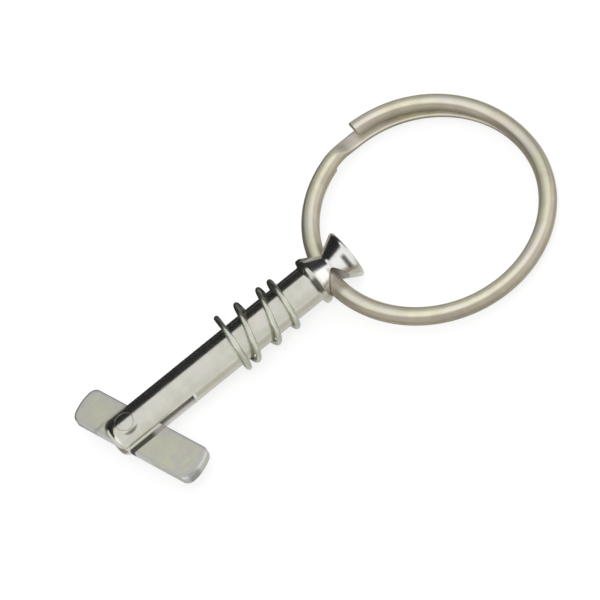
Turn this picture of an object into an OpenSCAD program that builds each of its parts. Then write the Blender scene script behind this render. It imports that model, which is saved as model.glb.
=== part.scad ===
// Drop-nose clevis pin: a turned pin with a forked nose, a flat toggle that turns on a
// rivet in the fork, a loose conical spring on the shank and a two-turn split ring in
// the cross hole of the spool head. It lies on its side, with the ring flat behind it.
// X runs along the shank towards the head and is 0 at the flat underside of the head.
// Z is up, and the rivet stands along it. All sizes are in millimetres.

/* [Shank] */
// Diameter of the shank
shank_d = 6.35; // [5:0.05:9]
// Length from the underside of the head to the tip of the nose
grip_len = 39.3; // [34:0.1:60]
// Radius that rounds the nose
nose_r = 1.5; // [0.5:0.1:2.4]

/* [Head] */
// How far each rim of the head stands out from the shank
rim_step = 0.95; // [0.9:0.025:2.5]
// Width of the rim next to the shank
rim_w = 1.05; // [0.8:0.05:3]
// Width of the rim at the end of the head
end_rim_w = 0.8; // [0.8:0.05:3]
// Length of each sloping side of the groove between the rims
flank_len = 2.6; // [1.5:0.05:5]
// Width of the flat at the bottom of the groove
neck_w = 0.4; // [0.2:0.05:2]
// How far the cross hole is drilled from the middle of the groove, towards the shank
hole_offset = 0.65; // [0:0.05:1]
// Metal left between the cross hole and the bottom of the groove
neck_wall = 0.4; // [0.3:0.05:2]
// Radius of the corner where the shank meets the head
head_fillet = 0.45; // [0.1:0.05:1]
// Radius that rounds the corners of the rims
rim_round = 0.35; // [0.05:0.05:0.4]

/* [Fork] */
// Room left in the saw cut beyond the short arm, when the toggle lies in line
slot_room = 1.5; // [0.3:0.1:6]
// Radius of the slitting saw that leaves the curved end of the cut
saw_r = 20; // [8:1:40]
// Gap on each side of the toggle in the saw cut
slot_gap = 0.1; // [0.05:0.01:0.4]

/* [Toggle] */
// Thickness of the toggle plate
toggle_t = 1.9; // [1.2:0.05:2.6]
// Length of the short arm, from the rivet
short_arm = 9.5; // [6:0.1:11]
// Length of the long arm, from the rivet
long_arm = 14.3; // [9:0.1:18]
// Distance of the rivet from the tip of the nose
pivot_in = 3.2; // [2.4:0.1:6]
// Radius of the toggle's corners
toggle_corner_r = 1.6; // [0.5:0.1:2.2]
// Radius of the shallow arc at each end of the toggle
toggle_end_r = 8; // [4:0.5:20]
// Worn edge round both faces of the toggle
toggle_edge = 0.3; // [0.1:0.05:0.6]
// Inset of the toggle's long sides from the shank's surface when it lies in line
toggle_inset = 0.03; // [0.01:0.01:0.3]
// Angle of the long arm from the shank, measured on the head side
toggle_angle = 71.5; // [40:0.5:150]

/* [Rivet] */
// Diameter of the rivet
rivet_d = 3.0; // [1.5:0.1:4]
// Gap round the rivet in the fork's two ears
rivet_fit = 0.02; // [0.01:0.01:0.1]
// Gap round the rivet in the toggle
pivot_gap = 0.09; // [0.03:0.01:0.3]
// How far the rivet's ground ends lie below the shank's surface
rivet_sink = 0.04; // [0.01:0.01:0.3]

/* [Spring] */
// Diameter of the spring wire
spring_wire = 0.9; // [0.5:0.05:1.1]
// Gap between the shank and the head end of the spring, all round
spring_gap_head = 0.375; // [0.15:0.025:1.5]
// Gap between the shank and the nose end of the spring, all round
spring_gap_nose = 0.875; // [0.15:0.025:2]
// Distance from the head to the near side of the spring's last turn
spring_from_head = 4.8; // [1:0.1:10]
// Length of the spring between the centres of its two end turns
spring_len = 10.15; // [8:0.05:14]
// Turns of wire in the spring
spring_turns = 3.97; // [3:0.01:6]
// How far the spring's turns lean along the shank, at their outer side
spring_lean = 0.29; // [0:0.01:0.6]

/* [Split ring] */
// Mean diameter of the split ring
ring_d = 37.5; // [28:0.1:60]
// Diameter of the ring's two turns together
ring_wire = 2.85; // [1.5:0.05:4]
// Gap between the ring's two turns
turn_gap = 0.06; // [0.02:0.01:0.3]
// Gap round the ring in the cross hole
hole_gap = 0.7; // [0.3:0.05:1.2]
// How far the ring's upper free end springs outwards
splay_out = 0.75; // [0:0.05:2]
// How far the ring's upper free end springs up
splay_up = 0.85; // [0:0.05:3]
// Angle over which the sprung end closes on to the turn below
splay_angle = 95; // [40:5:170]
// Angle round the ring from the cross hole to the free end of the upper turn
free_end_at = 82; // [30:1:150]
// Angle over which the wire crosses from one turn to the other
cross_angle = 16; // [8:1:30]
// Gap between a free end and the crossing wire, as an angle round the ring
end_gap = 2; // [0.5:0.5:5]

/* [Hidden] */
$fn = 72;
SPRING_SIDES = 14;     // sides of the spring's wire
SPRING_STEPS = 28;     // stations in each turn of the spring
SPRING_PHASE = 282.5;  // angle of the spring's nose end, from +Y towards +Z
SPRING_CLOSED = 0.45;  // part of a turn that each end turn of the spring stays flat
SPRING_NEAR = 0.05;    // least gap between the spring and the shank
SPRING_EASE = 0.2;     // part of the way over which the spring's pitch comes in
LEAN_TOWARDS = 30.5;   // direction in which the spring's turns lean to the head
RING_SIDES = 16;       // sides of the split ring's wire
RING_STEP = 5;         // degrees between the stations of the split ring
RING_EASE = 0.45;      // part of the crossing over which the wire bends each way
OVER = 1;              // how far a cut runs past the metal
RUN = 0.08;            // least gap between the ring and the wall of its hole

shank_r = shank_d / 2;
rim_r = shank_r + rim_step;
ring_r = ring_d / 2;
wire_r = ring_wire / 2;
hole_r = wire_r + hole_gap;
neck_r = hole_r + neck_wall;
nose_x = -grip_len;
pivot_x = nose_x + pivot_in;
slot_depth = pivot_in + short_arm + slot_room;
slot_end_x = nose_x + slot_depth;
slot_w = toggle_t + 2 * slot_gap;
toggle_w = shank_d - 2 * toggle_inset;
rivet_r = rivet_d / 2;
groove_x = rim_w + flank_len + neck_w / 2;
hole_x = groove_x - hole_offset;
head_len = groove_x + neck_w / 2 + flank_len + end_rim_w;

// The ring leans in its hole until its wire meets one mouth and the wall beyond it. Its
// slope against the hole is steepest at that mouth, and is 0 where it meets the wall.
mouth_y = neck_r + (hole_r + hole_offset - neck_w / 2) * (rim_r - neck_r) / flank_len;
ring_room = hole_gap - RUN;
mouth_slope = sqrt(4 * ring_room / (ring_r + wire_r));
lean_slope = max(mouth_slope - mouth_y / ring_r, 0);
ring_lean = atan(lean_slope);
ring_shift = ring_r * lean_slope * lean_slope / 2 - ring_room;
// The table is as far below the shank's axis as the rims reach, and the ring's far side
// lies on it.
ring_dip = asin((rim_r - wire_r) / (ring_r * (1 + cos(ring_lean)) + ring_shift));

function unit(v) = v / norm(v);
// A climb from 0 to 1 as t does: steady, but bending in and out over ease of the way
function eased(t, ease) =
    t <= 0 ? 0 :
    t < ease ? t * t / (2 * ease * (1 - ease)) :
    t <= 1 - ease ? (t - ease / 2) / (1 - ease) :
    t < 1 ? 1 - pow(1 - t, 2) / (2 * ease * (1 - ease)) : 1;

// A closed tube through rings of points: each ring is a list of as many points
module tube(rings) {
    n = len(rings[0]);
    last = len(rings) - 1;
    sides = [
        for (i = [0:last - 1], j = [0:n - 1])
            let (k = (j + 1) % n)
                [i * n + j, (i + 1) * n + j, (i + 1) * n + k, i * n + k]
    ];
    polyhedron(
        points = [for (ring = rings, p = ring) p],
        faces = concat(
            sides,
            [[for (j = [0:n - 1]) j]],
            [[for (j = [n - 1:-1:0]) last * n + j]]
        ),
        convexity = 10
    );
}

// The point where a line from p just touches the round of a corner, on its outer side
function touch(centre, p) =
    let (v = p - centre, a = atan2(v.y, v.x), b = acos(rim_round / norm(v)))
        centre + rim_round * (p.y > centre.y ? [cos(a - b), sin(a - b)] : [cos(a + b), sin(a + b)]);

// Half of the head's section: radius along the first axis, X along the second
module head_profile() {
    for (rim = [[0, rim_w], [head_len - end_rim_w, end_rim_w]]) {
        translate([0, rim[0]]) square([rim_r - rim_round, rim[1]]);
        translate([0, rim[0] + rim_round]) square([rim_r, rim[1] - 2 * rim_round]);
        for (x = [rim_round, rim[1] - rim_round])
            translate([rim_r - rim_round, rim[0] + x]) circle(rim_round);
    }
    near = [rim_r - rim_round, rim_w - rim_round];
    far = [rim_r - rim_round, head_len - end_rim_w + rim_round];
    polygon([
        [0, rim_w / 2],
        near,
        touch(near, [neck_r, groove_x - neck_w / 2]),
        [neck_r, groove_x - neck_w / 2],
        [neck_r, groove_x + neck_w / 2],
        touch(far, [neck_r, groove_x + neck_w / 2]),
        far,
        [0, head_len - end_rim_w / 2]
    ]);
}

// Half of the shank's section, with the rounded nose and the fillet under the head
module shank_profile() {
    translate([0, nose_x + nose_r]) square([shank_r, grip_len - nose_r + rim_w / 2]);
    translate([0, nose_x]) square([shank_r - nose_r, nose_r]);
    intersection() {
        translate([shank_r - nose_r, nose_x + nose_r]) circle(nose_r);
        translate([0, nose_x]) square([shank_r, nose_r]);
    }
    difference() {
        translate([0, -head_fillet]) square([shank_r + head_fillet, head_fillet + rim_w / 4]);
        translate([shank_r + head_fillet, -head_fillet]) circle(head_fillet);
    }
}

// The space that the toggle turns in, with the saw's curved end
module saw_cut() {
    half = shank_r + OVER;
    curve_depth = saw_r - sqrt(saw_r * saw_r - half * half);
    translate([0, 0, -slot_w / 2]) linear_extrude(slot_w) {
        translate([nose_x - OVER, -half])
            square([slot_depth + OVER - 2 * curve_depth, 2 * half]);
        intersection() {
            translate([slot_end_x - saw_r, 0]) circle(saw_r, $fn = 180);
            translate([nose_x, -half]) square([slot_depth, 2 * half]);
        }
    }
}

module pin_body() {
    color("#cfccc3")
    difference() {
        rotate([0, 90, 0]) rotate_extrude() {
            shank_profile();
            head_profile();
        }
        saw_cut();
        translate([pivot_x, 0, -shank_r - OVER])
            cylinder(h = shank_d + 2 * OVER, r = rivet_r + rivet_fit);
        translate([hole_x, 0, 0]) rotate([90, 0, 0])
            cylinder(h = 2 * rim_r + 2 * OVER, r = hole_r, center = true);
    }
}

// One end of the toggle: a shallow arc that runs into the two rounded corners
module toggle_end(arm, inset) {
    half = toggle_w / 2 - inset;
    corner = toggle_corner_r - inset;
    arc = toggle_end_r - inset;
    centre_x = arm - toggle_end_r;
    side = asin((half - corner) / (arc - corner));
    corner_x = centre_x + (arc - corner) * cos(side);
    reach = arc / cos(side) + OVER;
    translate([0, -half]) square([corner_x, 2 * half]);
    for (y = [-1, 1]) translate([corner_x, y * (half - corner)]) circle(corner);
    intersection() {
        translate([centre_x, 0]) circle(arc, $fn = 240);
        translate([centre_x, 0]) polygon([
            [0, 0],
            [reach, -reach * tan(side)],
            [reach, reach * tan(side)]
        ]);
    }
}

module toggle_outline(inset) {
    toggle_end(long_arm, inset);
    mirror([1, 0]) toggle_end(short_arm, inset);
}

// The toggle is a slice of the shank's own rod, so that its long sides are round
module toggle() {
    color("#b9bbab")
    translate([pivot_x, 0, 0]) rotate([0, 0, -toggle_angle]) difference() {
        intersection() {
            hull() {
                linear_extrude(toggle_t - 2 * toggle_edge, center = true) toggle_outline(0);
                linear_extrude(toggle_t, center = true) toggle_outline(toggle_edge);
            }
            translate([-short_arm - OVER, 0, 0]) rotate([0, 90, 0])
                cylinder(h = short_arm + long_arm + 2 * OVER, r = toggle_w / 2, $fn = 180);
        }
        cylinder(h = toggle_t + 2 * OVER, r = rivet_r + pivot_gap, center = true);
    }
}

// The rivet's ends are ground to the round of the shank
module rivet() {
    color("#c4c3ba")
    intersection() {
        translate([pivot_x, 0, -shank_r]) cylinder(h = shank_d, r = rivet_r);
        translate([nose_x, 0, 0]) rotate([0, 90, 0])
            cylinder(h = grip_len, r = shank_r - rivet_sink);
    }
}

// The spring's nose end is wider than its head end. The wire winds left-handed, its end
// turns close up, and it lies on the table, so that its centre is above the shank's axis.
spring_start_x = -spring_from_head - spring_wire / 2 - spring_len;

function spring_x(turn) = spring_start_x
    + spring_len
    * eased((turn - SPRING_CLOSED) / (spring_turns - 2 * SPRING_CLOSED), SPRING_EASE);
function spring_gap(turn) = spring_gap_nose
    + (spring_gap_head - spring_gap_nose) * (spring_x(turn) - spring_start_x) / spring_len;
function spring_rise(turn) = let (gap = spring_gap(turn))
    min(gap + spring_wire - rim_step, gap - SPRING_NEAR);
function spring_centre(turn) =
    let (a = SPRING_PHASE - 360 * turn, r = shank_r + spring_gap(turn) + spring_wire / 2)
        [spring_x(turn) + spring_lean * cos(a - LEAN_TOWARDS), r * cos(a),
         spring_rise(turn) + r * sin(a)];
function spring_ring(turn) =
    let (
        a = SPRING_PHASE - 360 * turn,
        along = unit(spring_centre(turn + 0.01) - spring_centre(turn - 0.01)),
        side = unit(cross(along, [0, cos(a), sin(a)])),
        out = cross(side, along)
    )
        [for (j = [0:SPRING_SIDES - 1]) let (b = 360 * j / SPRING_SIDES)
            spring_centre(turn) + spring_wire / 2 * (cos(b) * out + sin(b) * side)];

module spring() {
    stations = ceil(spring_turns * SPRING_STEPS);
    color("#9d9b94")
    tube([for (i = [0:stations]) spring_ring(spring_turns * i / stations)]);
}

// The split ring is flat in XY here, with the cross hole at the origin. The angle runs
// round the ring's centre from the hole, and the wire starts at its upper free end.
ring_span = 720 - 2 * end_gap - cross_angle;
function layer(a) =
    1 - 2 * eased((a - (360 - cross_angle - end_gap)) / cross_angle, RING_EASE);
function splay(a) = a < splay_angle ? pow(1 - pow(a / splay_angle, 2.5), 2) : 0;
function ring_station(a) =
    let (
        m = layer(a),
        t = free_end_at + a,
        out = [-cos(t), sin(t)],
        r = ring_r + splay_out * splay(a),
        z = m * turn_gap / 2 + splay_up * splay(a),
        half = wire_r - turn_gap / 2
    )
        [for (j = [0:RING_SIDES - 1])
            let (
                b = -360 * j / RING_SIDES,
                up = sin(b) * half * (sin(b) > 0 ? 1 + m : 1 - m) / 2,
                reach = r + wire_r * cos(b)
            )
                [ring_r + reach * out[0], reach * out[1], z + up]];

module split_ring() {
    stations = ceil(ring_span / RING_STEP);
    color("#b3a88f")
    translate([hole_x, 0, 0]) rotate([0, ring_dip, 0]) translate([ring_shift, 0, 0])
        rotate([0, 0, -ring_lean])
            tube([for (i = [0:stations]) ring_station(ring_span * i / stations)]);
}

pin_body();
toggle();
rivet();
spring();
split_ring();
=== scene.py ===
# %% [markdown]
# # A drop-nose clevis pin
# The real object is a turned steel pin that locks two forks of a machine together. A flat
# toggle swings on a rivet in its nose, a loose spring takes up the slack, and a split ring
# through the head gives the fingers something to pull.
#
# The solids were made elsewhere and come in as a fixed frame. This lesson gives them their
# looks: finer surfaces for the pieces whose edges and wire show, a finish for each metal,
# and a plain pale studio. The scene is in metres, with X along the shank and Z up. The sizes
# of the pieces are written in millimetres, and MM turns one into the other.

# %% Load the frame
import bpy
import numpy as np
from mathutils import Matrix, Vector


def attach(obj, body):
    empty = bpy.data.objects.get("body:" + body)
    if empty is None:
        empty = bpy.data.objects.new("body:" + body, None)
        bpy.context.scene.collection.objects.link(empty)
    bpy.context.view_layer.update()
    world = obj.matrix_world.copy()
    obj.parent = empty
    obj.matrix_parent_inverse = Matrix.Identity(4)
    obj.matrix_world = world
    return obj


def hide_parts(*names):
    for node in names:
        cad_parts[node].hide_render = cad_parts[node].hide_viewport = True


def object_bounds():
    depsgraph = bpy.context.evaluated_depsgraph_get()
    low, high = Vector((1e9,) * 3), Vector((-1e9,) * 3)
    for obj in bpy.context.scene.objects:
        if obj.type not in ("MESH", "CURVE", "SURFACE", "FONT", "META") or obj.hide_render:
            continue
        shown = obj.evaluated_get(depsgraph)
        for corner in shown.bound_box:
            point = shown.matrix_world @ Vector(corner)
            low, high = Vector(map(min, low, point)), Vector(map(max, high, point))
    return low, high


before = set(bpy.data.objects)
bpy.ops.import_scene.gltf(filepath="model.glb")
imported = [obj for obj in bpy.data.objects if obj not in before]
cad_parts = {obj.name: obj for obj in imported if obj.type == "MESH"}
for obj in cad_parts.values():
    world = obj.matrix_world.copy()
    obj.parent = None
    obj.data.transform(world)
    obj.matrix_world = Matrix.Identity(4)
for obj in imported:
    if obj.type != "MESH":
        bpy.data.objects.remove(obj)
cad_box = [list(corner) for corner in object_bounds()]
MM = 0.001

# %% [markdown]
# ## From a formula to a mesh
# A swept or bent surface is a sheet of points that depends on two numbers: how far along,
# and how far round. Numpy works out all its points at once as an array of rows and columns.
# The faces only join neighbours in that array, so one helper makes them for every piece.
# A sheet that closes on itself both ways has no ends. A wire closes only one way, and each
# of its ends is drawn together to one middle point, so that the solid has no hole.

# %% Turn a sheet of points into an object
def sheet_object(name, points, loop_rows=False):
    """Object from points[row, column]: each column runs round, and rows join to the next.
    With loop_rows the last row joins the first, otherwise a fan closes each end row."""
    rows, cols = points.shape[:2]
    row, col = np.meshgrid(np.arange(rows if loop_rows else rows - 1), np.arange(cols),
                           indexing="ij")
    below, beside = (row + 1) % rows, (col + 1) % cols
    quads = np.stack([row * cols + col, row * cols + beside,
                      below * cols + beside, below * cols + col], -1).reshape(-1, 4)
    verts, faces = points.reshape(-1, 3), quads.tolist()
    if not loop_rows:
        first, last = rows * cols, rows * cols + 1
        verts = np.vstack([verts, points[0].mean(0), points[-1].mean(0)])
        ring = np.arange(cols)
        turn = (ring + 1) % cols
        faces += np.stack([np.full(cols, first), turn, ring], -1).tolist()
        base = (rows - 1) * cols
        faces += np.stack([np.full(cols, last), base + ring, base + turn], -1).tolist()
    mesh = bpy.data.meshes.new(name)
    mesh.from_pydata(verts * MM, [], faces)
    mesh.update()
    obj = bpy.data.objects.new(name, mesh)
    bpy.context.scene.collection.objects.link(obj)
    mesh.polygons.foreach_set("use_smooth", np.ones(len(mesh.polygons), bool))
    print(name, len(mesh.vertices), "points", len(mesh.polygons), "faces")
    return obj


print("points are given in millimetres, and one of them is %g m in the mesh" % MM)

# %% [markdown]
# ## The split ring
# A split ring is one length of half-round wire wound twice round, so that two flat faces
# lie on each other and the pair looks like one round bar. Somewhere the wire has to cross
# from the upper turn to the lower one, and next to that crossing are its two cut ends. The
# upper end has sprung up and out from years of prising open.
#
# A curve with a bevel could carry one section along that path, but here the section has
# to change on the way. So it is worked out once as a rounded half disc, then as a function
# of the angle: above, it is that half disc; below, its mirror image; in the crossing, a
# blend of the two.

# %% Sizes of the head, the ring and where it lies
SHANK_R, RIM_R = 3.175, 4.125
GROOVE_X, HOLE_X = 3.85, 3.2
RING_R, RING_WIRE_R, TURN_GAP = 18.75, 1.425, 0.06
FREE_END, CROSSING, END_GAP = 82.0, 16.0, 2.0  # degrees round the ring
SPLAY_OUT, SPLAY_UP, SPLAY_OVER = 0.75, 0.85, 95.0
WIRE_CORNER = 0.22
MIDDLE = 0.42  # height of the section's middle, as a share of its radius
print("ring %.2f mm outside, %.2f mm thick" % (2 * (RING_R + RING_WIRE_R), 2 * RING_WIRE_R))


# %% Helpers for a wire's path
def eased(t, ease):
    """Climb from 0 to 1 at a steady rate, with a parabola over `ease` at each end."""
    t = np.clip(t, 0, 1)
    rate = 1 / (1 - ease)
    low, high = t * t * rate / (2 * ease), 1 - (1 - t) ** 2 * rate / (2 * ease)
    return np.where(t < ease, low, np.where(t > 1 - ease, high, (t - ease / 2) * rate))


def with_cut_ends(inner, length, ends, shrinks):
    """Stations along a wire: `inner`, and those in `ends` from each cut end. With them goes
    the share of the section's size, which is `shrinks` at those ends and 1 between them."""
    stations = np.concatenate([ends, inner, length - ends[::-1]])
    return stations, np.interp(np.minimum(stations, length - stations), ends, shrinks)


print("an eased climb is at %.3f after a tenth of its way" % eased(0.1, 0.2))


# %% The rounded half disc
def half_disc(corner):
    """Distance from a point MIDDLE up in a half disc of radius 1 to its edge, at each
    angle. The edge is an arc, a small arc of `corner` on each side, and the flat."""
    inner = np.sqrt((1 - corner) ** 2 - corner ** 2)
    lift = np.arcsin(corner / (1 - corner))
    small = np.linspace(-np.pi / 2, lift, 40)
    big = np.linspace(lift, np.pi - lift, 400)
    right = np.stack([inner + corner * np.cos(small), corner + corner * np.sin(small)], -1)
    left = right[::-1] * [-1, 1]
    arc = np.stack([np.cos(big), np.sin(big)], -1)
    flat = np.stack([np.linspace(-inner, inner, 120), np.zeros(120)], -1)
    edge = np.vstack([right, arc, left, flat]) - [0, MIDDLE]
    angle = np.arctan2(edge[:, 1], edge[:, 0])
    order = np.argsort(angle)
    return lambda a: np.interp(a, angle[order], np.hypot(*edge.T)[order], period=2 * np.pi)


section = half_disc(WIRE_CORNER / RING_WIRE_R)
print("half disc reaches %.2f up and %.2f down" % (section(np.pi / 2), section(-np.pi / 2)))


# %% The wire's path and section, as one sheet of points
def ring_points(step=1.5, sides=72, crowding=0.175):
    """Angle a along the wire, b round it. The wire's centre is R + splay out from the ring's
    centre at angle FREE_END + a, and its height goes from +gap/2 to -gap/2 in the crossing.
    The splay fades with (1 - (a / SPLAY_OVER) ** 2.5) ** 2. The sides crowd towards the
    section's corners, at b + crowding * sin(2 b)."""
    span = 720 - 2 * END_GAP - CROSSING
    a, shrink = with_cut_ends(np.arange(1.5, span - 1.5, step), span,
                              np.array([0.0, 0.05, 0.2, 0.5]), [0.86, 0.94, 0.985, 1.0])
    layer = 1 - 2 * eased((a - (360 - CROSSING - END_GAP)) / CROSSING, 0.45)
    splay = (1 - np.minimum(a / SPLAY_OVER, 1) ** 2.5) ** 2
    b = np.linspace(0, 2 * np.pi, sides, endpoint=False)
    b = b + crowding * np.sin(2 * b)
    mix = (1 + layer[:, None]) / 2
    reach = (mix * section(b) + (1 - mix) * section(-b)) * shrink[:, None]
    side = RING_WIRE_R * reach * np.cos(b)
    lift = (RING_WIRE_R - TURN_GAP / 2) * (MIDDLE * layer[:, None] + reach * np.sin(b))
    t = np.radians(FREE_END + a)[:, None]
    r = RING_R + SPLAY_OUT * splay[:, None] + side
    z = layer[:, None] * TURN_GAP / 2 + SPLAY_UP * splay[:, None] + lift
    return np.stack([RING_R - r * np.cos(t), r * np.sin(t), z], -1)


points = ring_points()
print("the wire is a sheet of %d by %d points" % points.shape[:2])

# %% [markdown]
# The ring hangs in a hole that is wider than its wire. It has slid until it leans against
# the hole's mouth, and its far side has dropped on to the table. Both angles could be set
# by eye, but then a small error would show as a gap or a clash. So the lean follows from
# the gap in the hole, and the dip from the height of the head's rims above the table.

# %% Turn points about an axis
def turned(points, angle, axis):
    """Points turned about the X, Y or Z axis (0, 1 or 2) through the origin."""
    i, j = [(1, 2), (2, 0), (0, 1)][axis]
    c, s = np.cos(angle), np.sin(angle)
    out = points.copy()
    out[..., i] = points[..., i] * c - points[..., j] * s
    out[..., j] = points[..., i] * s + points[..., j] * c
    return out


print("a quarter turn about Z takes X to", turned(np.array([1.0, 0, 0]), np.pi / 2, 2).round(3))

# %% Lay the ring in its hole and on the table
HOLE_GAP, HOLE_PLAY, NECK_WALL, NECK_W, FLANK = 0.7, 0.08, 0.4, 0.4, 2.6
hole_r = RING_WIRE_R + HOLE_GAP
neck_r = hole_r + NECK_WALL
mouth_y = neck_r + (hole_r + GROOVE_X - HOLE_X - NECK_W / 2) * (RIM_R - neck_r) / FLANK
room = HOLE_GAP - HOLE_PLAY
lean = np.sqrt(4 * room / (RING_R + RING_WIRE_R)) - mouth_y / RING_R
ring_lean = np.arctan(lean)
ring_shift = RING_R * lean * lean / 2 - room
ring_dip = np.arcsin((RIM_R - RING_WIRE_R) / (RING_R * (1 + np.cos(ring_lean)) + ring_shift))

points = turned(points, -ring_lean, 2) + [ring_shift, 0, 0]
points = turned(points, ring_dip, 1) + [HOLE_X, 0, 0]
ring = sheet_object("ring_wire", points)
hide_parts("split_ring")
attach(ring, "ring")
print("lean %.2f, dip %.2f degrees" % tuple(np.degrees([ring_lean, ring_dip])))

# %% [markdown]
# ## The spring
# It is wound from round wire, left-handed, wider at its nose end than at its head end, and
# its end turns close up. A loose spring never sits square: its turns lean a little, and it
# lies on the table under the shank. A screw modifier would wind it evenly and upright, so
# the path is a formula instead: a helix whose pitch fades out at both ends.

# %% The spring's path
SPRING_WIRE, SPRING_TURNS, SPRING_LEN = 0.9, 3.97, 10.15
GAP_NOSE, GAP_HEAD, GAP_LEAST, SPRING_FROM_HEAD = 0.875, 0.375, 0.05, 4.8
SPRING_START = -SPRING_FROM_HEAD - SPRING_WIRE / 2 - SPRING_LEN
FIRST_BEARING, CLOSED_TURN = 282.5, 0.45  # degrees from +Y, and part of a turn
TURN_LEAN, LEAN_BEARING = 0.29, 30.5


def spring_bearing(turn):
    """Angle round the shank, which falls as the wire winds left-handed to the head."""
    return np.radians(FIRST_BEARING - 360 * turn)


def spring_path(turn):
    """Centre of the wire after `turn` turns: X climbs from the nose end to the head end,
    the radius shrinks as it does, and Z rises so that each turn still meets the table."""
    climb = eased((turn - CLOSED_TURN) / (SPRING_TURNS - 2 * CLOSED_TURN), 0.2)
    gap = GAP_NOSE + (GAP_HEAD - GAP_NOSE) * climb
    rise = np.minimum(gap + SPRING_WIRE - (RIM_R - SHANK_R), gap - GAP_LEAST)
    a, r = spring_bearing(turn), SHANK_R + gap + SPRING_WIRE / 2
    x = SPRING_START + SPRING_LEN * climb + TURN_LEAN * np.cos(a - np.radians(LEAN_BEARING))
    return np.stack([x, r * np.cos(a), rise + r * np.sin(a)], -1)


print("spring from %.2f to %.2f mm" % (spring_path(0.0)[0], spring_path(SPRING_TURNS)[0]))


# %% Carry a round section along it
def unit(v):
    """Each vector divided by its length."""
    return v / np.linalg.norm(v, axis=-1, keepdims=True)


def spring_points(per_turn=120, sides=28, nearby=0.005):
    """At each station the section is the circle centre + radius (cos b out + sin b side),
    with `out` pointing away from the shank. The cut ends have a slightly rounded rim."""
    inner = np.linspace(0.01, SPRING_TURNS - 0.01, int(SPRING_TURNS * per_turn))
    turn, shrink = with_cut_ends(inner, SPRING_TURNS, np.array([0, 0.0006, 0.002, 0.005]),
                                 [0.82, 0.93, 0.985, 1.0])
    along = unit(spring_path(turn + nearby) - spring_path(turn - nearby))
    a = spring_bearing(turn)
    away = np.stack([np.zeros_like(a), np.cos(a), np.sin(a)], -1)
    side = unit(np.cross(along, away))
    out = np.cross(side, along)
    b = np.linspace(0, 2 * np.pi, sides, endpoint=False)[None, :, None]
    radius = (SPRING_WIRE / 2 * shrink)[:, None, None]
    circle = np.cos(b) * out[:, None] + np.sin(b) * side[:, None]
    return spring_path(turn)[:, None] + radius * circle


spring = sheet_object("spring_wire", spring_points())
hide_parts("spring")
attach(spring, "loose_spring")

# %% [markdown]
# ## The toggle
# It is a slice of the same rod as the shank, with round corners and a shallow arc at each
# end, tumbled until its edges are smooth. Its outline is lines and arcs that run into each
# other without a kink, so an inset outline is found by moving every point along its own
# normal. An extruded outline with a bevel would do for the edges, but it would not know how
# far each point is from the border, and the finish needs that. So the plate is one closed
# sheet: round the outline one way, and over the top face, round the edge, along the bottom
# face and up through the rivet hole the other way.

# %% The outline and its normals
TOGGLE_T, SHORT_ARM, LONG_ARM, TOGGLE_INSET = 1.9, 9.5, 14.3, 0.03
CORNER_R, END_R, EDGE_R, HOLE_EDGE = 1.6, 8.0, 0.34, 0.12
PIVOT_X, RIVET_R, PIVOT_GAP = -36.1, 1.5, 0.09
TOGGLE_ANGLE = 71.5
half_w = SHANK_R - TOGGLE_INSET


def arc(cx, cy, radius, start, end, count):
    """Points and normals of an arc, from one angle to another."""
    t = np.linspace(start, end, count)
    normal = np.stack([np.cos(t), np.sin(t)], -1)
    return np.array([cx, cy]) + radius * normal, normal


def arm_end(arm):
    """Side, corner, end arc, corner and side of the arm that points along +X. A small gap
    keeps the last point of one part off the first point of the next."""
    side = np.arcsin((half_w - CORNER_R) / (END_R - CORNER_R))
    cx = arm - END_R + (END_R - CORNER_R) * np.cos(side)
    x = np.linspace(0.15, cx - 0.05, 40)
    low = np.column_stack([x, np.full(40, -half_w)]), np.tile([0.0, -1.0], (40, 1))
    parts = [low, arc(cx, -(half_w - CORNER_R), CORNER_R, -np.pi / 2, -side, 26),
             arc(arm - END_R, 0, END_R, -side + 0.02, side - 0.02, 24),
             arc(cx, half_w - CORNER_R, CORNER_R, side, np.pi / 2, 26),
             (low[0][::-1] * [1, -1], -low[1])]
    return np.vstack([p for p, n in parts]), np.vstack([n for p, n in parts])


long_end, long_normal = arm_end(LONG_ARM)
short_end, short_normal = arm_end(SHORT_ARM)
outline = np.vstack([long_end, -short_end])
outline_normal = np.vstack([long_normal, -short_normal])
print("outline of", len(outline), "points, half width %.3f mm" % half_w)


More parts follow.
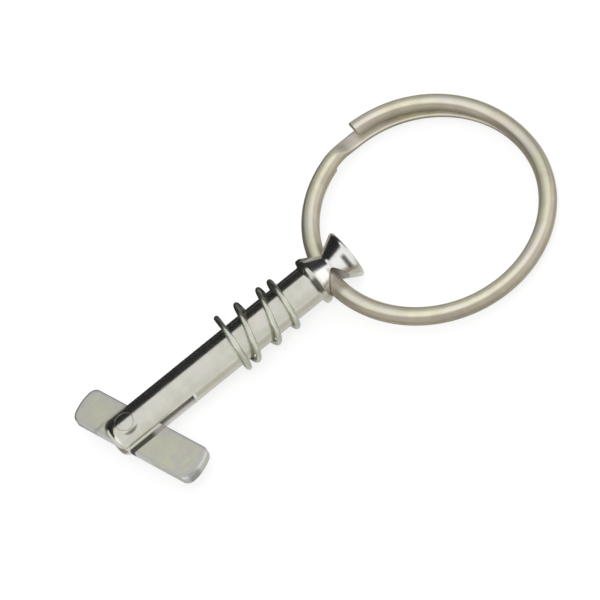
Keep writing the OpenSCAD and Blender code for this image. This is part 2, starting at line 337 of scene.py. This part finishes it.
# %% The plate as one closed sheet
def toggle_points(whole=0.5, faded=1.4):
    """Row: place on the section, from the hole over the top face to the outline and back
    under. Column: place on the outline. On the faces, points run straight from the hole's
    edge to the inset outline; on the edges they follow a quarter circle. Nowhere is a point
    further from the toggle's middle line than the rod's round, whose width is 2 sqrt(r2 - z2).
    The border value is 1 within `whole` mm of the outline and falls to 0 at `faded` mm."""
    bearing = np.arctan2(outline[:, 1], outline[:, 0])
    round_hole = np.stack([np.cos(bearing), np.sin(bearing)], -1)
    top, bore_r, rows = TOGGLE_T / 2, RIVET_R + PIVOT_GAP, []
    quarter = [(1 - np.sin(t), 1 - np.cos(t)) for t in np.linspace(0, np.pi / 2, 10)]
    for s in (1, -1):
        rim = [((bore_r + HOLE_EDGE * back) * round_hole, s * (top - HOLE_EDGE * down))
               for back, down in quarter[::-1]]
        inner = (bore_r + HOLE_EDGE) * round_hole
        outer = outline - EDGE_R * outline_normal
        face = [(inner + (outer - inner) * f, s * top) for f in np.linspace(0.04, 0.97, 22)]
        edge = [(outline - EDGE_R * back * outline_normal, s * (top - EDGE_R * down))
                for back, down in quarter]
        rows += (rim + face + edge)[::s]
        if s == 1:
            rows += [(outline, z) for z in np.linspace(0.5, -0.5, 7)]
    sheet = np.stack([np.column_stack([p, np.full(len(p), z)]) for p, z in rows])
    widest = np.sqrt(half_w ** 2 - sheet[..., 2] ** 2)
    sheet[..., 1] = np.clip(sheet[..., 1], -widest, widest)
    inward = np.linalg.norm(sheet[..., :2] - outline, axis=-1)
    return sheet, 1 - np.clip((inward - whole) / (faded - whole), 0, 1)


plate, border = toggle_points()
plate = turned(plate, np.radians(-TOGGLE_ANGLE), 2) + [PIVOT_X, 0, 0]
toggle = sheet_object("toggle_blade", plate[:, ::-1], loop_rows=True)
mark = toggle.data.attributes.new("border", "FLOAT", "POINT")
mark.data.foreach_set("value", border[:, ::-1].ravel().astype(np.float32))
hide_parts("toggle")
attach(toggle, "toggle_plate")

# %% [markdown]
# ## Writing shader maths in Python
# A finish is a small program of nodes. It could be drawn by hand in the node editor, but
# written down it can be read, repeated and changed in one place. Wrapped in a class, the
# output of a node can be added, subtracted and multiplied like a number, and each operator
# quietly places the Math node that does it. Every other kind of node comes from one method,
# which sets the node's own options first and then links or fills its inputs.

# %% A socket that behaves like a number
class Value:
    """The output of a node, with the operators of a number."""

    def __init__(self, finish, socket):
        self.finish, self.socket = finish, socket

    def __add__(self, other):
        return self.finish.math("ADD", self, other)

    def __sub__(self, other):
        return self.finish.math("SUBTRACT", self, other)

    def __rsub__(self, other):
        return self.finish.math("SUBTRACT", other, self)

    def __neg__(self):
        return 0 - self

    def __mul__(self, other):
        return self.finish.math("MULTIPLY", self, other)

    def __abs__(self):
        return self.finish.math("ABSOLUTE", self)

    def clipped(self, low, high):
        """0 where the value is at or below low, 1 at or above high, and smooth between."""
        return self.finish.node("ShaderNodeMapRange", {"interpolation_type": "SMOOTHSTEP"},
                                self, low, high, 0.0, 1.0)

    __radd__, __rmul__ = __add__, __mul__


print("a Value has", sum(callable(part) for part in vars(Value).values()), "methods")


# %% A finish that holds the nodes
def opaque(colour):
    """A colour as a node wants it, with its alpha, or the link that carries one."""
    return colour if isinstance(colour, Value) else (*colour, 1.0)


class Finish:
    """The nodes of one material or world."""

    def __init__(self, owner):
        owner.use_nodes = True
        self.tree = owner.node_tree
        self.tree.nodes.clear()

    def node(self, kind, settings=None, *inputs, output=0, **named):
        """A node of that kind with its settings made and its inputs filled or linked."""
        made = self.tree.nodes.new(kind)
        for option, value in (settings or {}).items():
            setattr(made, option, value)
        named = {k.replace("_", " "): v for k, v in named.items()}
        for key, value in list(enumerate(inputs)) + list(named.items()):
            if isinstance(value, Value):
                self.tree.links.new(value.socket, made.inputs[key])
            elif value is not None:
                made.inputs[key].default_value = value
        return Value(self, made.outputs[output]) if made.outputs else made

    def math(self, operation, *values):
        """One Math node, for what no operator of a Value says."""
        return self.node("ShaderNodeMath", {"operation": operation}, *values)

    def noise(self, place, scale, detail, **more):
        """A cloudy value near 0.5, with about `scale` clouds to the metre."""
        return self.node("ShaderNodeTexNoise", None, Vector=place, Scale=scale,
                         Detail=detail, **more)

    def axes(self, vector, which="XYZ"):
        """Those of a vector's X, Y and Z that `which` names."""
        return [self.node("ShaderNodeSeparateXYZ", None, vector, output=n) for n in which]

    def blend(self, factor, first, second):
        """The colour first where factor is 0, and second where it is 1."""
        other_kinds = [None] * 5  # a Mix node's sockets for numbers and vectors stay unset
        return self.node("ShaderNodeMix", {"data_type": "RGBA"}, factor, *other_kinds,
                         opaque(first), opaque(second), output=2)


print("a Finish has", sum(callable(part) for part in vars(Finish).values()), "methods")

# %% [markdown]
# ## Metal that has been made and handled
# Clean steel in a white room is nearly invisible: what the eye reads as metal is how its
# gloss changes. Three things change it here. The tool that shaped the piece leaves its
# marks, such as the fine rings round a turned pin. Handling leaves faint smears and short
# scratches. Edges are rubbed brighter and smoother than the faces. Corners, where the piece
# hides the room, are darkened in clouds: partly dirt, partly painted shade. Painted images
# could show all this, but only from one distance.
# Noises in the object's own coordinates stay sharp at any distance and need no unwrapping.
#
# A Bevel node gives the normal that a slightly rounded edge would have. Where it differs
# from the plain normal there is an edge, and that difference is the wear mask.

# %% What handling leaves
DIRT_AND_SHADE, DARK_OLIVE = (0.12, 0.11, 0.09), (0.12, 0.12, 0.09)
SCRATCH_TURN, SCRATCH_SCALE = (0.3, 0.2, 0.7), (260, 2600, 900)
CORNER_REACH, RAYS = 1.4, 6


def fine_scratches(f, place):
    """1 on short scratches, the peaks of a noise that is squeezed most along one axis."""
    squeezed = f.node("ShaderNodeMapping", None, place, (0, 0, 0), SCRATCH_TURN, SCRATCH_SCALE)
    return f.noise(squeezed, 1.0, 2.0).clipped(0.63, 0.70)


def rounded_edges(f, edge):
    """The normal with every edge rounded by `edge` mm, and a mask that is 1 at those edges:
    where that normal and the plain one have a dot product below 0.82."""
    soft = f.node("ShaderNodeBevel", {"samples": RAYS}, edge * MM)
    plain = f.node("ShaderNodeNewGeometry", output="Normal")
    facing = f.node("ShaderNodeVectorMath", {"operation": "DOT_PRODUCT"}, soft, plain,
                    output="Value")
    return soft, 1 - facing.clipped(0.82, 0.995)


# Partly dirt and partly painted shade: it darkens the corners where shade falls.
def dirt_and_shade_in_corners(f, cloud):
    """1 in clouds where the piece itself hides most of the room within CORNER_REACH mm."""
    seen = f.node("ShaderNodeAmbientOcclusion", {"samples": RAYS, "only_local": True},
                  Distance=CORNER_REACH * MM, output="AO")
    return (1 - seen.clipped(0.25, 0.8)) * cloud.clipped(0.3, 0.7)


print("dirt within %.1f mm of a corner, colour" % CORNER_REACH, DIRT_AND_SHADE)


# %% The shared finish
def metal(name, colour, shade, rough, lines, line_depth, edge=0.09, wear=0.5, bare=1.0,
          places=None):
    """Steel that goes from `colour` to `shade` in clouds. Its tool marks follow `lines`, a
    function from the finish and its object coordinates to a value that varies quickly
    across the marks, and are `line_depth` mm deep. `bare` is how much of it shines like
    clean metal. `places` gives the parts with a look of their own, each as a mask, a
    colour and how much duller they are."""
    material = bpy.data.materials.new(name)
    f = Finish(material)
    place = f.node("ShaderNodeTexCoord", output="Object")
    marks, scratches = lines(f, place), fine_scratches(f, place)
    cloud = f.noise(place, 420.0, 4.0, Roughness=0.6)
    speck = f.noise(place, 2600.0, 3.0)
    soft, edges = rounded_edges(f, edge)
    worn = edges * (cloud * 0.8 + wear)
    dirt_and_shade = dirt_and_shade_in_corners(f, cloud)
    polished = [min(1, c * 1.12) for c in colour]
    tone = f.blend(cloud.clipped(0.35, 0.7), colour, shade)
    tone = f.blend(marks.clipped(0.3, 0.8) * 0.25, tone, shade)
    tone = f.blend(worn * 0.5, tone, polished)
    # Dirt, and painted shade in the corners that the piece hides from the room.
    tone = f.blend(dirt_and_shade * 0.5, tone, DIRT_AND_SHADE)
    gloss = (rough + (cloud - 0.5) * 0.1 + (marks - 0.5) * 0.05
             + scratches * 0.05 - worn * 0.05 + dirt_and_shade * 0.2)
    for mask, own, dull in (places(f, place, cloud) if places else []):
        tone = f.blend(mask, tone, own)
        gloss = gloss + mask * dull
        bare = bare - mask * dull
    bump = f.node("ShaderNodeBump", None, Strength=1.0, Distance=MM * line_depth,
                  Height=marks + speck * 0.35 - scratches * 0.6, Normal=soft)
    surface = f.node("ShaderNodeBsdfPrincipled", None, Base_Color=tone, Metallic=bare,
                     Roughness=gloss, Normal=bump)
    f.node("ShaderNodeOutputMaterial", None, surface)
    print(name, "finish with", len(f.tree.nodes), "nodes")
    return material


# %% [markdown]
# ### Tool marks
# A lathe tool moves along the pin as the pin turns, so its marks are rings: a value that
# depends on X alone. A stamped plate is tumbled with stones, which leaves marks with no
# direction. Wire that was drawn and wound has soft blotches under a fine grain. Real
# grooves would take millions of faces, so the marks only bend the light, as a bump.

# %% Three kinds of marks
def turned_lines(f, place):
    """Rings round the X axis: a one-way noise of X, coarse and fine together."""
    [x] = f.axes(place, "X")
    one_way = {"noise_dimensions": "1D"}
    coarse = f.node("ShaderNodeTexNoise", one_way, W=x * 2600.0, Scale=1.0, Detail=3.0,
                    Roughness=0.7)
    fine = f.node("ShaderNodeTexNoise", one_way, W=x * 14000.0, Scale=1.0, Detail=2.0)
    return coarse * 0.6 + fine * 0.4


def tumbled_marks(f, place):
    """Small dents and rubs of every direction: a noise bent by another noise."""
    return f.noise(place, 1500.0, 6.0, Roughness=0.68, Distortion=1.2)


def drawn_marks(f, place):
    """Soft blotches of a noise bent a little, with a fine grain over them."""
    blotches = f.noise(place, 900.0, 5.0, Roughness=0.6, Distortion=0.6)
    return blotches * 0.7 + f.noise(place, 5200.0, 2.0) * 0.3


print("marks:", [marks.__name__ for marks in (turned_lines, tumbled_marks, drawn_marks)])

# %% [markdown]
# ### Places with a look of their own
# Fingers keep the head whiter than the shank. Its rims and neck carry a painted dark
# reflection on one side, from above to the front. The wall of the drilled cross hole is
# matt, as a drill leaves it, and painted pale: painted light in the hole's shade. The
# walls of the saw cut are matt too and painted darker, partly as painted shade, and
# their outer lips are painted bright where the lamp reaches into the cut. A dark crescent
# lies beside the rivet, and grease marks the seam round it.
#
# Where it leaves the shank the toggle has a bright strip, a painted reflection of the ear,
# with a dark line beyond it that is painted shadow and dark reflection of the ear, and a
# faint dark line on the other side. The toggle's tumbled border is greyer than its face,
# and the end of its long arm is bruised. The ring's plating is patchy. Its flanks carry
# painted shade, less on those that face +X and -Y, and there is more painted shade in
# front of the head.
#
# Each place could be a material of its own, but then its edge would be as hard as the
# faces are. A mask from the object's own coordinates, in millimetres, can be soft.

# %% Helpers for masks
SLOT_HALF, SLOT_END = 1.05, -25.1


def millimetres(f, place, which="XYZ"):
    """Those coordinates of a place that `which` names, in millimetres."""
    return [axis * (1 / MM) for axis in f.axes(place, which)]


def between(value, low, high, soft):
    """1 where the value lies between low and high, with an edge of twice `soft` each side."""
    return value.clipped(low - soft, low + soft) * (1 - value.clipped(high - soft, high + soft))


def squares(a, b):
    """The squared distance that goes with two distances at right angles."""
    return a * a + b * b


print("saw cut %.1f mm wide, ending at X %.1f mm" % (2 * SLOT_HALF, SLOT_END))


# %% The pin's own places
def pin_places(f, place, cloud):
    """The head past X 1 mm, the hole within a radius of the cross axis, the saw cut between
    its walls and their lips far from the middle, the rims between two bearings from above
    to the front, and two rings round the rivet's axis: its seam, and a dark crescent in
    front. The hole's wall is painted pale and the lips bright, as painted light, the cut's
    walls are painted darker, partly as painted shade, and the rims' patch is a painted dark
    reflection."""
    x, y, z = millimetres(f, place)
    head = x.clipped(1.0, 1.4)
    # Painted light: the drilled wall is painted pale against the shade inside the hole; its
    # dullness is the drill's matt finish.
    drilled = 1 - squares(x - HOLE_X, z).clipped((hole_r + 0.015) ** 2, (hole_r + 0.065) ** 2)
    # Partly painted shade: the cut's walls are matt, and painted darker as the shade in the
    # slot.
    sawn = (between(z, -SLOT_HALF - 0.01, SLOT_HALF + 0.01, 0.01)
            * (1 - x.clipped(SLOT_END + 0.1, SLOT_END + 0.3)))
    # Painted light: the lips, where the lamp reaches into the cut, are painted bright.
    lip = sawn * abs(y).clipped(2.2, 2.5)
    near_rim, neck, end_rim = [between(x, low, high, soft) for low, high, soft in
                               [(-0.25, 0.75, 0.2), (2.85, 3.45, 0.3), (5.75, 6.5, 0.3)]]
    # Painted reflection: a dark patch on the rims and neck, from above to the front.
    bearing = f.math("ARCTAN2", -y, z)
    painted_lighting = between(bearing, 0.45, 1.15, 0.12) * (near_rim + end_rim + neck * 0.45)
    from_rivet = squares(x - PIVOT_X, y)
    seam = 1 - from_rivet.clipped((RIVET_R + 0.03) ** 2, (RIVET_R + 0.07) ** 2)
    # A dark crescent just in front of the rivet.
    dark_crescent = (between(from_rivet, 1.6 ** 2, 2.15 ** 2, 0.5)
               * (-y).clipped(1.5, 1.9) * z.clipped(0, 1))
    return [(head * 0.8, (0.95, 0.95, 0.93), 0.0),
            (drilled, (0.95, 0.94, 0.90), 0.45),
            (sawn, (0.45, 0.43, 0.39), 0.55),
            (lip * 0.9, (1.0, 0.98, 0.94), 0.0),
            (painted_lighting * 0.95, (0.10, 0.10, 0.085), 0.08),
            (seam * 0.45, DARK_OLIVE, 0.2),
            (dark_crescent * 0.85, DARK_OLIVE, 0.2)]


def rivet_places(f, place, cloud):
    """The rivet's side of that seam: all that is further than a radius from its axis."""
    x, y = millimetres(f, place, "XY")
    seam = squares(x - PIVOT_X, y).clipped((RIVET_R - 0.1) ** 2, (RIVET_R - 0.02) ** 2)
    return [(seam * 0.35, DARK_OLIVE, 0.2)]


print("the cross hole is %.2f mm wide, the rivet %.2f mm" % (2 * hole_r, 2 * RIVET_R))


# %% The toggle's and the ring's own places
def toggle_places(f, place, cloud):
    """The border by its attribute, the bruise in a corner of X and Y, and bands of Y where it
    leaves the shank: a painted reflection of the ear, a line in front that is painted
    shadow and dark reflection of the ear, and a fainter dark line behind."""
    x, y = millimetres(f, place, "XY")
    border = f.node("ShaderNodeAttribute", {"attribute_name": "border"}, output="Fac")
    bruise = between(x, -34.0, -32.0, 0.4) * (-y).clipped(13.2, 13.7)
    # Painted reflection: a bright strip where the toggle mirrors the ear's edge.
    painted_ear_reflection = between(y, -3.5, -2.9, 0.14)
    # Painted shade: a dark line in front, the ear's shadow and dark reflection on the toggle.
    front = between(y, -4.35, -3.45, 0.14) * (1 - x.clipped(-34.2, -32.8) * 0.55)
    back = between(y, 2.9, 3.4, 0.4)
    return [(border * (cloud * 0.7 + 0.45), (0.70, 0.70, 0.70), 0.1),
            (bruise * 0.5, (0.12, 0.12, 0.10), 0.2),
            (painted_ear_reflection * 0.8, (0.93, 0.91, 0.83), -0.05),
            (front * 0.95, (0.05, 0.045, 0.035), 0.3),
            (back * 0.4, (0.12, 0.12, 0.08), 0.2)]


def ring_places(f, place, cloud):
    """Patches of a wide noise, painted shade on the wire in a band of Y in front of the head,
    and painted shade on the flanks, where the normal isn't upright, a little less on those
    that face +X and -Y as painted light."""
    x, y = millimetres(f, place, "XY")
    patch = f.noise(place, 95.0, 2.0)
    # Painted shade: the wire darkened in front of the head, where it lies in shadow.
    painted_head_shade = between(y, -5.4, -2.5, 0.7) * (1 - x.clipped(9, 11))
    across, along, level = f.axes(f.node("ShaderNodeTexCoord", output="Normal"))
    # Painted shade: the wire's sides are darker than its top and bottom.
    painted_flank_shade = 1 - abs(level).clipped(0.80, 0.95)
    # Painted light: sides that face +X and -Y, towards the light, are a little less dark.
    painted_lighting = (across * 0.85 - along * 0.5).clipped(0.1, 0.7) * 0.3
    return [(patch.clipped(0.46, 0.60) * 0.6, (0.82, 0.77, 0.71), 0.0),
            (painted_head_shade * 0.6, (0.25, 0.22, 0.14), 0.0),
            (painted_flank_shade * (cloud * 0.3 + 0.72) * (1 - painted_lighting), (0.37, 0.32, 0.25), 0.0)]


print("the toggle's border covers %d of its %d points" % ((border > 0).sum(), border.size))


# %% [markdown]
# ### Five metals
# The pin and its rivet are bright turned steel, the toggle is tumbled satin, the spring is
# greyer drawn wire, and the ring has a warmer plating. One material could hold them all
# with masks, but they are separate pieces, so each takes the same function with its own
# colours, roughness and marks.

# %% Put the finishes on
def dress(obj, material):
    """Give a piece that one material."""
    obj.data.materials.clear()
    obj.data.materials.append(material)


pin_steel = metal("pin_steel", (0.81, 0.79, 0.72), (0.73, 0.72, 0.63), 0.18,
                  turned_lines, 0.004, places=pin_places)
rivet_steel = metal("rivet_steel", (0.79, 0.78, 0.72), (0.72, 0.72, 0.65), 0.18,
                    tumbled_marks, 0.004, edge=0.012, wear=0.0, places=rivet_places)
toggle_steel = metal("toggle_steel", (0.88, 0.91, 0.70), (0.84, 0.81, 0.74), 0.30,
                     tumbled_marks, 0.008, places=toggle_places)
spring_steel = metal("spring_steel", (0.78, 0.80, 0.70), (0.62, 0.64, 0.55), 0.28,
                     drawn_marks, 0.004)
ring_nickel = metal("ring_nickel", (0.84, 0.82, 0.62), (0.75, 0.71, 0.56), 0.36,
                    drawn_marks, 0.006, bare=0.7, places=ring_places)
dress(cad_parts["pin_body"], pin_steel)
dress(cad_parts["rivet"], rivet_steel)
dress(toggle, toggle_steel)
dress(spring, spring_steel)
dress(ring, ring_nickel)

# %% [markdown]
# ## The table and the studio
# The table is a wide pale sheet just under the pin. To the camera it is thin, so the white
# room shows through it, it keeps only a soft shadow, and the ring is still seen when it
# hangs below the table's top. Metal shows whatever stands round it, so the studio has to
# be built for it: pale walls, two brighter panels at the ends of the shank, and a black
# card behind it, which draws the dark line along its far side. A ready-made room would
# light it too, but then no wall could be moved.

# %% The table
def table_sheet(size=4.0, below=1e-5):
    """A flat square of that size, and so far below the pin's lowest point, in metres."""
    z = min(corner[2] for corner in cad_box) - below
    x, y = np.meshgrid([-size / 2, size / 2], [-size / 2, size / 2])
    corners = np.stack([x, y, np.full_like(x, z)], -1).reshape(-1, 3)
    mesh = bpy.data.meshes.new("table")
    mesh.from_pydata(corners, [], [(0, 1, 3, 2)])
    obj = bpy.data.objects.new("table", mesh)
    bpy.context.scene.collection.objects.link(obj)
    print("table top at Z %.3f mm" % (z / MM))
    return obj


table = table_sheet()


# %% What the metal sees of the table
def table_colours(f, x, y, mirrored):
    """The table as the metal mirrors it: pale, a little darker in a strip in front of the
    shank and under the ring, and black behind the shank and behind the ring's half by the
    head, a painted shadow that only the metal sees. To rays that only light things it is
    plain grey."""
    near = y.clipped(1.5, 3.5) * (1 - x.clipped(4, 8))
    far = y.clipped(14, 18) * (1 - x.clipped(16, 22))
    # Painted shadow: black on the table beside the shank and the ring, for mirrored rays.
    black = f.math("MAXIMUM", near, far) * (x + y * 0.9).clipped(-40, -36)
    seen = f.blend(between(y, -18, -6, 1.5), (0.64, 0.64, 0.62), (0.50, 0.50, 0.46))
    seen = f.blend(x.clipped(6, 14), seen, (0.40, 0.39, 0.35))
    seen = f.blend(black, seen, (0.02, 0.02, 0.02))
    return f.blend(mirrored, (0.40, 0.40, 0.40), seen)


PAPER, OWN_GLOW, CLEARNESS = (0.93, 0.93, 0.93), 0.5, 0.78
material = bpy.data.materials.new("table_white")
f = Finish(material)
x, y = millimetres(f, f.node("ShaderNodeTexCoord", output="Object"), "XY")
looked_at, mirrored = [f.node("ShaderNodeLightPath", output=ray)
                       for ray in ("Is Camera Ray", "Is Glossy Ray")]
seen = table_colours(f, x, y, mirrored)
paper = f.node("ShaderNodeBsdfDiffuse", None, f.blend(looked_at, seen, PAPER))
glow = f.node("ShaderNodeEmission", None, seen, 1.0)
sheet = f.node("ShaderNodeMixShader", None, mirrored * OWN_GLOW, paper, glow)
underside = f.node("ShaderNodeNewGeometry", output="Backfacing")
faint = f.math("MAXIMUM", underside, looked_at * CLEARNESS)
clear = f.node("ShaderNodeBsdfTransparent")
f.node("ShaderNodeOutputMaterial", None,
       f.node("ShaderNodeMixShader", None, faint, sheet, clear))
dress(table, material)
print("the camera sees %d %% through the table" % (100 * CLEARNESS))

# %% The studio's walls, panels and black card
# Here a place is a direction of length 1, east along the shank to the head and north away
# from the camera. The card fills what lies further north than its edge, which is CARD_EDGE
# low down, and CARD_SLOPE times the height less CARD_DROP higher up. The metal mirrors
# this room, but what only lights it is a soft glow, brightest from the head's end.
CARD_EDGE, CARD_SLOPE, CARD_DROP = 0.10, 1.3, 0.51
WALL, SOUTH_WALL, END_PANEL = (0.80, 0.80, 0.80), (0.74, 0.74, 0.73), (1.12, 1.12, 1.12)
BLACK_CARD, WHITE = (0.012, 0.012, 0.014), (1.0, 1.0, 1.0)
DIM, BRIGHT = (0.25, 0.25, 0.24), (1.6, 1.6, 1.6)
world = bpy.data.worlds.new("studio")
bpy.context.scene.world = world
f = Finish(world)
east, north, up = f.axes(f.node("ShaderNodeTexCoord", output="Generated"))
card_edge = f.math("MAXIMUM", up * CARD_SLOPE - CARD_DROP, CARD_EDGE)
card = (north - card_edge).clipped(-0.08, 0.06)
walls = f.blend((-north).clipped(0.70, 0.98), WALL, SOUTH_WALL)
walls = f.blend(abs(east).clipped(0.70, 0.90), walls, END_PANEL)
room_light = f.blend(card, walls, BLACK_CARD)
soft_light = f.blend((north * 0.5 + east * 0.87).clipped(-0.7, 0.8), DIM, BRIGHT)
looked_at, mirrored = [f.node("ShaderNodeLightPath", output=ray)
                       for ray in ("Is Camera Ray", "Is Glossy Ray")]
shown = f.blend(looked_at, f.blend(mirrored, soft_light, room_light), WHITE)
f.node("ShaderNodeOutputWorld", None, f.node("ShaderNodeBackground", None, shown, 1.0))
print("studio with", len(f.tree.nodes), "nodes")

# %% [markdown]
# One lamp gives the pin its soft shadow. A sun would draw a hard one, so it is a wide disk
# high over the near side, turned to face the pin, and the metal doesn't mirror it.

# %% One wide soft lamp
LAMP_AT, LAMP_WIDTH, LAMP_WATTS = (-0.10, -0.16, 0.55), 0.5, 2.2
lamp = bpy.data.lights.new("soft_lamp", "AREA")
lamp.shape, lamp.size, lamp.energy = "DISK", LAMP_WIDTH, LAMP_WATTS
lamp_object = bpy.data.objects.new("soft_lamp", lamp)
lamp_object.location = LAMP_AT
tilt = np.arctan2(np.hypot(*LAMP_AT[:2]), LAMP_AT[2])
heading = np.arctan2(LAMP_AT[1], LAMP_AT[0]) + np.pi / 2
lamp_object.rotation_euler = (float(tilt), 0, float(heading))
lamp_object.visible_glossy = False
bpy.context.scene.collection.objects.link(lamp_object)
print("lamp tilted %.1f degrees" % np.degrees(tilt))

# %% [markdown]
# ## The camera
# It looks down steeply on the pin from beside the shank, through a long lens, so that
# round things stay round. A camera could be aimed at a target by a constraint, but then
# its roll would not be free. So its right, up and back directions are written as they were
# measured in the pin's own frame, and the point that it looks at is set from the groove in
# the head.

# %% The camera
RIGHT, UP, BACK = [np.array(v) for v in
                   [(0.775, -0.571, -0.270), (0.627, 0.638, 0.447), (-0.083, -0.516, 0.853)]]
LENS, SENSOR, VIEW_WIDTH = 300.0, 36.0, 92.92 * MM
LEFT_OF_GROOVE, BELOW_GROOVE = 4.693, 5.033
target = (np.array([GROOVE_X, 0, 0]) - LEFT_OF_GROOVE * RIGHT - BELOW_GROOVE * UP) * MM
BACK = unit(BACK)
RIGHT = unit(np.cross(UP, BACK))
UP = np.cross(BACK, RIGHT)
eye = target + BACK * VIEW_WIDTH * LENS / SENSOR
camera = bpy.data.cameras.new("camera")
camera.lens, camera.sensor_width, camera.clip_start, camera.clip_end = LENS, SENSOR, 0.01, 20.0
camera_object = bpy.data.objects.new("camera", camera)
placed = np.vstack([np.column_stack([RIGHT, UP, BACK, eye]), [0, 0, 0, 1]])
camera_object.matrix_world = Matrix(placed.tolist())
bpy.context.scene.collection.objects.link(camera_object)
bpy.context.scene.camera = camera_object
bpy.context.scene.view_settings.view_transform = "Standard"
print("camera %.3f m from its target" % np.linalg.norm(eye - target))

# %% [markdown]
# ## The size of what was made
# The finer surfaces have to stay inside the box of the solids that they stand for. The
# box of the solids is measured when they are loaded.
